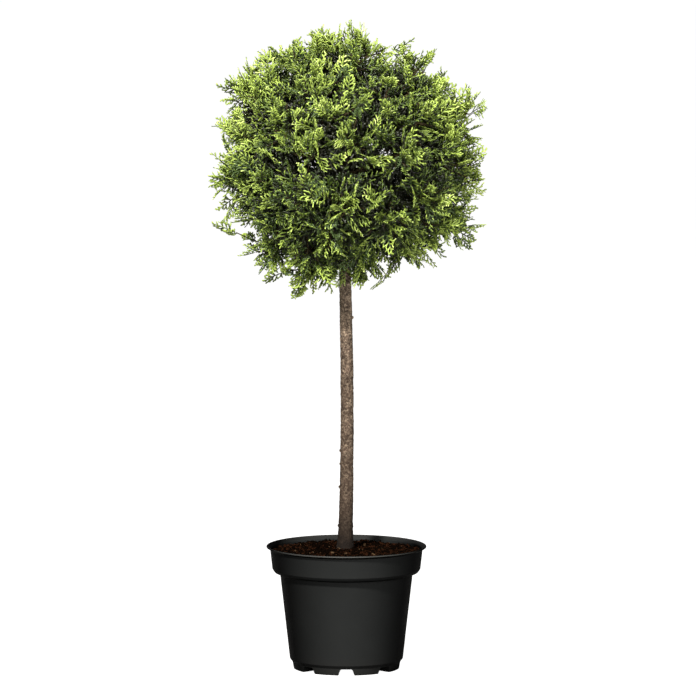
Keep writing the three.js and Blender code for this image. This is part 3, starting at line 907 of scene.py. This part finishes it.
def scatter_fibres(soil, rim, count):
    """Short brown fibres lying across the compost, where crumbs of no size would lie."""
    spots, _ = scatter_crumbs(soil, rim, count, (0.0, 0.0))
    start = spots[:, 0] + (0.0, 0.0, 1.2)
    turn = rng.uniform(0, 2 * np.pi, count)
    way = ring_points(1.0, turn, rng.normal(0, 0.12, count))
    length = rng.uniform(4.0, 13.0, count)[:, None]
    bow = rng.normal(0, 0.12, (count, 3)) * length
    paths = np.stack([start, start + 0.5 * way * length + bow, start + way * length], axis=1)
    level = np.hypot(paths[..., 0], paths[..., 1]).max(axis=1)
    paths = paths[level < rim - 1.0]
    return tubes(paths, np.full((len(paths), 3), FIBRE_RADIUS), 4)


def lay_compost():
    soil, rim = fill_pot()
    fit_to_frame(soil, ["soil"], compost_finish())
    for name, count, colour, light in CRUMBS:
        points, faces = scatter_crumbs(soil, rim, count, CRUMB_SIZES)
        finish = crumb_finish(name, colour, light)
        lay_piece(name, points, repeat_faces(faces, 8, count), ["soil"], "soil", finish)
    finish = crumb_finish("peat_fibres", "1f110a", "361f12")
    lay_piece("peat_fibres", *scatter_fibres(soil, rim, FIBRES), ["soil"], "soil", finish)


# ---- the stem and the boughs ----

STEM_STEP = 22.0  # between the points that the stem is drawn through
STEM_SIDES = 68
BARK = 0.6  # stands proud of the wood
STEM_RELIEF = (  # kind, grain, depth and stretch of each layer of relief in the bark
    ("CLOUDS", 16.0, 0.45, 2.0),
    ("CLOUDS", 4.2, 0.5, 1.8),
    ("STUCCI", 2.2, 0.3, 1.5),
)
LIMB_RELIEF = ((6.0, 0.5), (2.5, 0.3))  # grain and depth
LIMB_POINTS = 9
LIMB_SIDES = 24
BUD_STEPS = ((0.4, 0.86), (0.35, 0.76), (0.25, 0.6))  # share of its length, and how it narrows
BUD_RISE = 0.25
BUDS = (  # bearing, height, radius and length of each bud or cut stub on the stem
    (4.0, 511.0, 2.6, 2.4), (186.0, 317.0, 2.2, 1.9), (174.0, 298.0, 2.0, 1.6),
    (178.0, 264.0, 2.9, 2.0), (192.0, 208.0, 2.4, 1.8), (262.0, 452.0, 2.3, 1.3),
    (285.0, 366.0, 2.6, 1.4), (248.0, 248.0, 2.4, 1.3), (78.0, 480.0, 2.5, 2.0),
    (110.0, 335.0, 2.8, 1.8), (40.0, 274.0, 2.3, 1.6), (20.0, 408.0, 2.1, 1.5),
)


def swell_bud(stem, bearing, height, radius, length):
    """Raises a small stub on the stem, drawn in towards a blunt end."""
    out = direction(bearing, 0.0)
    foot = Vector(trunk_at(height) + out * trunk_radius(height)) * MM
    pick_faces(stem, lambda face: (face.center - foot).length < radius * MM)
    end = foot
    for part, narrow in BUD_STEPS:
        step = Vector(out + BUD_RISE * UP) * part * length * MM
        bpy.ops.mesh.extrude_region_move(TRANSFORM_OT_translate={"value": step})
        end = end + step
        bpy.ops.transform.resize(value=(narrow, narrow, narrow), center_override=end)
    enter("OBJECT")


def grow_stem():
    heights = np.append(np.arange(TRUNK_FOOT, TRUNK_TIP - 8, STEM_STEP), TRUNK_TIP)
    radii = [trunk_radius(z) + BARK for z in heights]
    stem = draw_limb("stem", trunk_at(heights), radii, STEM_SIDES, 20)
    for bud in BUDS:
        swell_bud(stem, *bud)
    for kind, grain, depth, stretch in STEM_RELIEF:
        roughen(stem, kind, grain, depth, stretch)
    smooth(stem, 60.0)
    return stem


def grow_limb(i):
    radii = np.linspace(BOUGH_ROOT, BOUGH_TIP, LIMB_POINTS)
    limb = draw_limb("limb_" + MASS_NAMES[i], bough_line(i, LIMB_POINTS), radii, LIMB_SIDES, 8)
    for grain, depth in LIMB_RELIEF:
        roughen(limb, "CLOUDS", grain, depth)
    smooth(limb, 60.0)
    return limb


# ---- twigs ----

FINE_TWIGS = 500
GATHER = 0.17  # how far a fine twig leans to its branch's own direction
TWIG_LIFT = 0.55
LEADER_SPRAY = 24.0  # left for the spray beyond the end of a leading twig
TWIG_SETS = (  # name, radius at the root and at the tip, sides
    ("branches", 2.5, 1.5, 6),
    ("leading_twigs", 1.5, 0.8, 5),
    ("fine_twigs", 1.25, 0.7, 5),
)


def tubes(paths, radii, sides):
    """Points and faces of closed round limbs through many lines: paths is (limbs, points, 3)."""
    limbs, count, _ = paths.shape
    along = unit(np.gradient(paths, axis=1))
    across, up = square_to(along, along[:, :1], 0.8)
    turn = 2 * np.pi * np.arange(sides)[:, None] / sides
    ring = across[:, :, None] * np.cos(turn) + up[:, :, None] * np.sin(turn)
    points = paths[:, :, None] + ring * radii[:, :, None, None]
    k = np.arange(sides)
    after = (k + 1) % sides
    low = np.stack([k, after + sides, k + sides], axis=1)
    high = np.stack([k, after, after + sides], axis=1)
    band = np.concatenate([low, high])
    walls = repeat_faces(band, sides, count - 1)
    fan = np.arange(1, sides - 1)
    foot = np.stack([np.zeros_like(fan), fan + 1, fan], axis=1)
    tip = foot[:, ::-1] + sides * (count - 1)
    faces = np.concatenate([walls, foot, tip])
    return points, repeat_faces(faces, sides * count, limbs)


def line_at(lines, share):
    """The point and the heading of each line (rows of points) at its own share of the way."""
    count = lines.shape[1]
    spot = np.clip(share, 0.0, 1.0) * (count - 1)
    i = np.minimum(spot.astype(int), count - 2)
    rows = np.arange(len(lines))
    step = lines[rows, i + 1] - lines[rows, i]
    return lines[rows, i] + step * (spot - i)[:, None], unit(step)


def grow_branch_lines(masses, ways):
    """Each branch leaves its bough near the end and runs out to its fork in the shell."""
    boughs = np.stack([bough_line(i, 12) for i in range(len(MASSES))])
    start, heading = line_at(boughs[masses], rng.uniform(0.55, 1.0, len(ways)))
    along = unit(ways + UPTURN * UP * (1 - ways[:, 2:3] ** 2))
    neck = out_to(ways, TWIG_FORK) + along * 0.04 * RADIUS
    length = span(start, neck)
    bend = start + heading * 0.45 * length + rng.normal(0, 2.5, start.shape)
    return curve_points(start, bend, neck, 9)


def grow_fine_twigs(ways, lines):
    """Fine twigs spread evenly over the ball, each grown on from the branch nearest to it."""
    spread = spiral_ways(FINE_TWIGS)
    spread = unit(spread + rng.normal(0, 0.04, spread.shape))
    owner = np.argmax(spread @ ways.T, axis=1)
    aim = unit(spread * (1 - GATHER) + ways[owner] * GATHER)
    apart = np.arccos(np.clip((aim * ways[owner]).sum(1), -1, 1))
    start, heading = line_at(lines[owner], rng.uniform(0.6, 1.0, FINE_TWIGS))
    share = rng.uniform(0.8, 0.96, FINE_TWIGS) - 1.6 * apart**2
    end = out_to(aim, share * room_to(aim) / reach_to(aim))
    length = span(start, end)
    arriving = unit(aim + TWIG_LIFT * lift_at(end) * UP)
    bend = 0.5 * (start + heading * 0.5 * length) + 0.5 * (end - arriving * 0.5 * length)
    return curve_points(start, bend, end, 6), owner


def grow_leaders(ways, reaches, lines):
    """The leading twig of each branch: it runs on to the tip, and out of the ball on a shoot."""
    start = lines[:, -1]
    end = CENTRE + ways * (reaches - LEADER_SPRAY)[:, None]
    length = span(start, end)
    heading = unit(lines[:, -1] - lines[:, -2])
    return curve_points(start, start + heading * 0.5 * length, end, 6)


# ---- sprays ----

BLADE_WIDTH = 1.28  # half of it
BLADE_RINGS = ((0.2, 0.75), (0.8, 1.0))  # share of its length, share of its width
BLADE_TWIST = 0.32  # radians, either way, that a blade turns out of its spray's plane
TOOTH = 0.18  # of the spray's length
FOLD = 0.4  # how far the two sides of a spray fold up along its middle
OUTLINES = 8  # of each kind of spray
OUTER_SPRAY = (5, (0.36, 0.5), BLADE_WIDTH)  # pairs of branchlets, their spread, half a blade's width
INNER_SPRAY = (3, (0.4, 0.5), 3.4)
SPRAY_LIFT = 0.45
SPRAY_TURN = 2.4  # radians round the twig from each spray to the next
SHORTEST_SPRAY = 15.0
STEM_TOP = 700.0  # below it, sprays keep clear of the stem
STEM_ROOM = 12.0

# How twigs are dressed: side sprays on each, the share of the way at which they begin, the range of
# their splay in radians, their length at the twig's root and at its tip, and how far out they reach.
TWIG_DRESS = (3, 0.25, (0.5, 1.1), (53, 42), 0.93)
BRANCH_DRESS = (5, 0.4, (0.6, 1.2), (60, 60), 0.91)
LEADER_DRESS = (5, 0.1, (0.5, 1.05), (52, 38), 1.0)
STRAY_DRESS = (8, 0.1, (0.5, 1.05), (34, 22), 1.1)
TWIG_TIP = 50.0  # length of the spray at the end
LEADER_TIP = 54.0
INNER_ON_BOUGH = 9
INNER_ON_BRANCH = 11
INNER_REACH = 0.8
INNER_MOOD = -8.2  # far below the freshest, so that all of an inner spray is dry and painted dark as shade
SKIRT = 46
SKIRT_HEIGHT = 588.0
SKIRT_DROP = 34.0
SKIRT_MOOD = 0.05
STRAYS = (  # bearing, height and reach of twigs that have outgrown their branch
    (180, 75, 197), (180, 55, 198), (182, 51, 204), (178, 40, 212), (180, 33, 213),
    (180, 27, 205), (180, -9, 206), (180, -13, 207), (180, -21, 200), (182, -33, 220),
    (180, -45, 216), (180, -52, 214), (182, -60, 214), (180, -71, 214), (0, 87, 197),
    (0, 70, 184), (0, 63, 194), (2, 40, 198), (0, 24, 211), (0, 10, 194),
    (0, -12, 200), (0, -21, 193), (0, -27, 199), (0, -30, 219), (0, -36, 217),
    (0, -68, 190),
)


def spray_outline(draw, pairs, spread, half_width):
    """The blades of one flat spray of unit length along +X: root, tip, half its width in
    millimetres, and how near it is to the spray's own edge, from 0 to 1."""
    blades = []
    sway = draw.uniform(-0.07, 0.07)

    def spine(x):
        return np.array((x, sway * math.sin(math.pi * x), 0.0))

    for start, end in ((0.0, 0.4), (0.3, 0.72), (0.6, 1.0)):
        blades.append((spine(start), spine(end), 0.85 * half_width, 0.1 + 0.8 * start))
    count = 2 * pairs
    for k in range(count):
        x = 0.08 + 0.85 * (k + draw.uniform(0.25, 0.75)) / count
        side = 1 if k % 2 else -1
        belly = min(1.0, 0.5 + 2.0 * x) * (1.04 - x) ** 0.75
        length = max(0.14, spread * belly * draw.uniform(0.7, 1.15))
        lean = side * (0.9 - 0.3 * x + draw.uniform(-0.14, 0.14))
        root = spine(x)
        way = np.array((math.cos(lean), math.sin(lean), 0.0))
        blades.append((root, root + length * way, half_width, 0.35 + 0.5 * x))
        teeth = int(round(length / 0.15)) if length > TOOTH else 0
        for j in range(teeth):
            at = (j + 0.8) / (teeth + 0.6)
            turn = lean + (1 if (j + k) % 2 else -1) * draw.uniform(0.42, 0.68)
            part = TOOTH * draw.uniform(0.8, 1.2) * (1.15 - 0.3 * at)
            start = root + at * length * way
            end = start + part * np.array((math.cos(turn), math.sin(turn), 0.0))
            blades.append((start, end, 0.85 * half_width, 0.4 + 0.35 * x + 0.25 * at))
    roots, tips, halves, edges = (np.array(part, float) for part in zip(*blades))
    return roots, tips, halves, np.clip(edges, 0, 1)


def set_spray(outline, at, axis, face, length, curl):
    """Many sprays of one outline: the corners of their closed keeled blades."""
    roots, tips, halves, _ = outline
    size = length[:, None, None]
    low = roots[None] * size
    high = tips[None] * size
    for part in (low, high):
        part[..., 2] += curl[:, None] * part[..., 0] ** 2 / length[:, None]
        part[..., 2] += FOLD * np.abs(part[..., 1])
    along = high - low
    level = unit(np.cross(UP, along))
    twist = rng.normal(0, BLADE_TWIST, along.shape[:2])[..., None]
    side = level * np.cos(twist) + UP * np.sin(twist)
    keel = UP * np.cos(twist) - level * np.sin(twist)
    half = halves[None, :, None]
    corners = [low]
    for share, width in BLADE_RINGS:
        middle = low + share * along - 0.25 * half * keel
        corners += [
            middle - width * half * side,
            middle + width * half * side,
            middle + 0.75 * width * half * keel,
        ]
    corners = np.stack(corners + [high], axis=2)
    turn = np.stack([axis, np.cross(face, axis), face], axis=1)
    return np.einsum("sbcj,sjk->sbck", corners, turn) + at[:, None, None]


def blade_faces(count):
    """Twelve triangles for each blade: its root, right, left and keel twice over, its tip."""
    blade = [(2, 1, 0), (3, 2, 0), (1, 3, 0)]
    for a, b in ((1, 2), (2, 3), (3, 1)):
        blade += [(a, b, b + 3), (a, b + 3, a + 3), (a + 3, b + 3, 7)]
    return repeat_faces(blade, 8, count)


def lean_from(heading, splay, turn):
    """A direction splayed off each heading, and the face of a spray that lies back on it."""
    across, up = square_to(heading, heading, 0.9)
    off = across * np.cos(turn)[:, None] + up * np.sin(turn)[:, None]
    axis = heading * np.cos(splay)[:, None] + off * np.sin(splay)[:, None]
    face = heading * np.sin(splay)[:, None] - off * np.cos(splay)[:, None]
    return axis, face


def lift_at(points):
    """How strongly growth turns upwards: fully at the top, not at all under the head."""
    return np.clip(1.0 + 1.5 * (points[:, 2:3] - CENTRE[2]) / RADIUS, 0.0, 1.0)


def place_sprays(at, heading, splay, turn, length, proud, mood, tilt):
    """Sprays fitted to the head's outline: each is shortened until its tip is inside it."""
    axis, face = lean_from(heading, splay, turn)
    axis = unit(axis + SPRAY_LIFT * lift_at(at) * UP)
    face = unit(face - axis * (face * axis).sum(1, keepdims=True))
    face = face * np.cos(tilt)[:, None] + np.cross(axis, face) * np.sin(tilt)[:, None]
    out = at - CENTRE
    limit = room_to(unit(out + axis * length[:, None])) * proud
    reach = (out * axis).sum(1)
    room = -reach + np.sqrt(np.maximum(reach**2 - (out**2).sum(1) + limit**2, 0.0))
    length = np.minimum(length, room)
    keep = (length > SHORTEST_SPRAY) & ((out**2).sum(1) < limit**2)
    tip = at + axis * length[:, None]
    fresh_and_shade = mood + freshness_and_shade_at(tip)
    for end in (at, tip):
        off = end - trunk_at(end[:, 2])
        keep &= (end[:, 2] > STEM_TOP) | (np.hypot(off[:, 0], off[:, 1]) > STEM_ROOM)
    return [part[keep] for part in (at, axis, face, length, fresh_and_shade)]


def gather(sets):
    return [np.concatenate(parts) for parts in zip(*sets)]


def freshness_and_shade_at(points):
    """The freshness that picks each green: more at the top and outside, partly younger growth there
    and partly painted light on top and painted shade inside the head.
    """
    out = (points - CENTRE) / RADIUS
    depth = np.linalg.norm(points - CENTRE, axis=1) / reach_to(unit(out))
    outward = np.minimum(depth, 1.0) - 0.94
    # Freshness with painted light and shade: higher growth is made lighter, and growth further inside
    # darker.
    return 0.27 + 0.04 * out[:, 2] + 2.4 * outward + rng.normal(0, 0.12, len(points))


def dress(lines, plan, reach, mood):
    """Side sprays along each twig, the longest low down. On half of the twigs they lie in one
    plane with it, and on the others they lie back on the ball."""
    count, start, splays, lengths, proud = plan
    twigs = len(lines)
    plane = rng.uniform(0, 2 * np.pi, twigs)
    flat = rng.random(twigs) < 0.5
    made = []
    for k in range(count):
        share = start + (1 - start) * (k + rng.uniform(0.2, 0.8, twigs)) / count
        at, heading = line_at(lines, share)
        round_twig = np.where(flat, np.pi * (k % 2), SPRAY_TURN * k)
        turn = plane + round_twig + rng.normal(0, 0.35, twigs)
        tilt = np.where(flat, np.pi / 2, 0.0) + rng.normal(0, 0.5, twigs)
        length = (lengths[0] + (lengths[1] - lengths[0]) * share) * rng.uniform(0.8, 1.15, twigs)
        splay = rng.uniform(*splays, twigs)
        limit = proud * reach * rng.uniform(0.88, 1.05, twigs)
        made.append(place_sprays(at, heading, splay, turn, length, limit, mood, tilt))
    return made


def tip_with(lines, length, proud, mood, splay):
    """One spray at the end of each twig."""
    twigs = len(lines)
    at, heading = line_at(lines, np.ones(twigs))
    heading = unit(heading + 0.25 * unit(at - CENTRE))
    lean = rng.uniform(0, splay, twigs)
    turn = rng.uniform(0, 2 * np.pi, twigs)
    tilt = rng.uniform(-np.pi / 2, np.pi / 2, twigs)
    size = length * rng.uniform(0.85, 1.15, twigs)
    return place_sprays(at, heading, lean, turn, size, proud, mood, tilt)


def fill_inside(lines):
    """Old, shaded sprays along the boughs and the branches, where little light comes in."""
    boughs = np.stack([bough_line(i, LIMB_POINTS) for i in range(len(MASSES))])
    made = []
    for limbs, count in ((boughs, INNER_ON_BOUGH), (lines, INNER_ON_BRANCH)):
        size = len(limbs)
        for k in range(count):
            share = 0.1 + 0.85 * (k + rng.uniform(0, 1, size)) / count
            at, heading = line_at(limbs, share)
            turn = SPRAY_TURN * k + rng.normal(0, 0.4, size)
            tilt = rng.uniform(-1.2, 1.2, size)
            length = rng.uniform(55.0, 85.0, size)
            splay = rng.uniform(0.7, 1.4, size)
            made.append(
                place_sprays(at, heading, splay, turn, length, INNER_REACH, INNER_MOOD, tilt)
            )
    return made


def hang_skirt():
    """Sprays that hang round the top of the stem, under the head."""
    turn = SPRAY_TURN * np.arange(SKIRT)
    level = rng.uniform(14.0, 62.0, SKIRT)
    at = ring_points(level, turn, np.zeros(SKIRT))
    at += trunk_at(np.full(SKIRT, SKIRT_HEIGHT)) + rng.normal(0, 7.0, at.shape)
    heading = unit(at - trunk_at(at[:, 2]) - SKIRT_DROP * UP)
    length = rng.uniform(32.0, 50.0, SKIRT)
    tilt = rng.uniform(-1.5, 1.5, SKIRT)
    proud = rng.uniform(0.97, 1.05, SKIRT)
    splay = rng.uniform(0.0, 0.5, SKIRT)
    return place_sprays(at, heading, splay, turn, length, proud, SKIRT_MOOD, tilt)


def grow_head():
    masses, ways, reaches = grow_branches()
    reaches = reaches * room_to(ways) / reach_to(ways)
    lines = grow_branch_lines(masses, ways)
    twigs, owner = grow_fine_twigs(ways, lines)
    branch_mood = rng.normal(0, 0.05, TWIG_COUNT)
    twig_mood = rng.normal(0, 0.06, FINE_TWIGS) + branch_mood[owner]
    strays = np.array([direction(bearing, height) for bearing, height, _ in STRAYS])
    stray_reaches = np.array([reach for _, _, reach in STRAYS])
    nearest = np.argmax(strays @ ways.T, axis=1)
    leading = np.concatenate([ways, strays])
    tips = np.concatenate([reaches, stray_reaches])
    leaders = grow_leaders(leading, tips, np.concatenate([lines, lines[nearest]]))
    leader_mood = np.concatenate([branch_mood, branch_mood[nearest]])
    own_reach = tips / room_to(leading)
    full = dress(twigs, TWIG_DRESS, 1.0, twig_mood)
    full += dress(lines, BRANCH_DRESS, 1.0, branch_mood)
    for part, plan in ((slice(TWIG_COUNT), LEADER_DRESS), (slice(TWIG_COUNT, None), STRAY_DRESS)):
        full += dress(leaders[part], plan, own_reach[part], leader_mood[part])
    full.append(tip_with(twigs, TWIG_TIP, rng.uniform(0.86, 1.08, FINE_TWIGS), twig_mood, 0.3))
    full.append(hang_skirt())
    full.append(tip_with(leaders, LEADER_TIP, np.maximum(own_reach, 1.0), leader_mood, 0.15))
    return lines, twigs, leaders, gather(full), gather(fill_inside(lines))


def cut_blades(full, inner):
    """The corners of every blade, its freshness, and whether it is on a bluer, shaded spray."""
    cut = []
    for number, (sprays, plan) in enumerate(((full, OUTER_SPRAY), (inner, INNER_SPRAY))):
        pairs, spreads, half_width = plan
        at, axis, face, length, mood = sprays
        choice = rng.integers(0, OUTLINES, len(at))
        blue = rng.random(len(at)) < 0.1 + 0.2 * (at[:, 2] < CENTRE[2])
        for k in range(OUTLINES):
            draw = np.random.default_rng(100 + k + 50 * number)
            outline = spray_outline(draw, pairs, draw.uniform(*spreads), half_width)
            pick = choice == k
            curl = rng.uniform(-0.25, 0.25, pick.sum())
            made = set_spray(outline, at[pick], axis[pick], face[pick], length[pick], curl)
            edge = outline[3]
            own = mood[pick][:, None] + 1.05 * (edge[None] - 0.5)
            own = own + rng.normal(0, 0.13, own.shape)
            cut.append((made.reshape(-1, 8, 3), own.ravel(), np.repeat(blue[pick], len(edge))))
    return gather(cut)


def lay_foliage(blades, fresh_and_shade, shaded):
    low = np.array(cad_low) / MM
    high = np.array(cad_high) / MM
    inside = ((blades > low) & (blades < high)).all(axis=(1, 2))
    blades, fresh_and_shade, shaded = blades[inside], fresh_and_shade[inside], shaded[inside]
    # The darkest finishes, on the sprays deep in the head, are partly painted shade.
    starts = np.array([look[3] for look in FOLIAGE])
    kind = np.searchsorted(starts, fresh_and_shade, side="right") - 1
    kind[shaded & (kind > 0) & (kind < PALER)] = len(FOLIAGE)
    looks = [look[:3] for look in FOLIAGE] + [SHADED]
    upper = blades[:, 0, 2] > CENTRE[2]
    for number, (name, colour, flush) in enumerate(looks):
        finish = foliage_finish(name, colour, flush)
        for half, picked in (("upper", upper), ("lower", ~upper)):
            own = blades[(kind == number) & picked]
            if not len(own):
                continue
            faces = blade_faces(len(own))
            lay_piece(f"{name}_{half}", own, faces, FOLIAGE_NODES, "foliage", finish)


def lay_twigs(sets, finish):
    for paths, (name, root, tip, sides) in zip(sets, TWIG_SETS):
        radii = np.tile(np.linspace(root, tip, paths.shape[1]), (len(paths), 1))
        lay_piece(name, *tubes(paths, radii, sides), FOLIAGE_NODES, "bark", finish)


# ---- the whole plant ----

for make_group in (make_mottle, make_flecks, make_fibre, make_stain_and_painted_light):
    make_group()

set_camera()
set_world()
set_lights()
lay_floor()
deselect()

lines, twigs, leaders, full, inner = grow_head()
blades, fresh_and_shade, shaded = cut_blades(full, inner)
lay_foliage(blades, fresh_and_shade, shaded)
bark = twig_bark()
lay_twigs((lines, leaders, twigs), bark)

fit_to_frame(mould_pot(), ["pot"], pot_plastic())
lay_compost()
fit_to_frame(grow_stem(), ["trunk"], stem_bark())
for i, name in enumerate(MASS_NAMES):
    fit_to_frame(grow_limb(i), ["bough_" + name], bark)
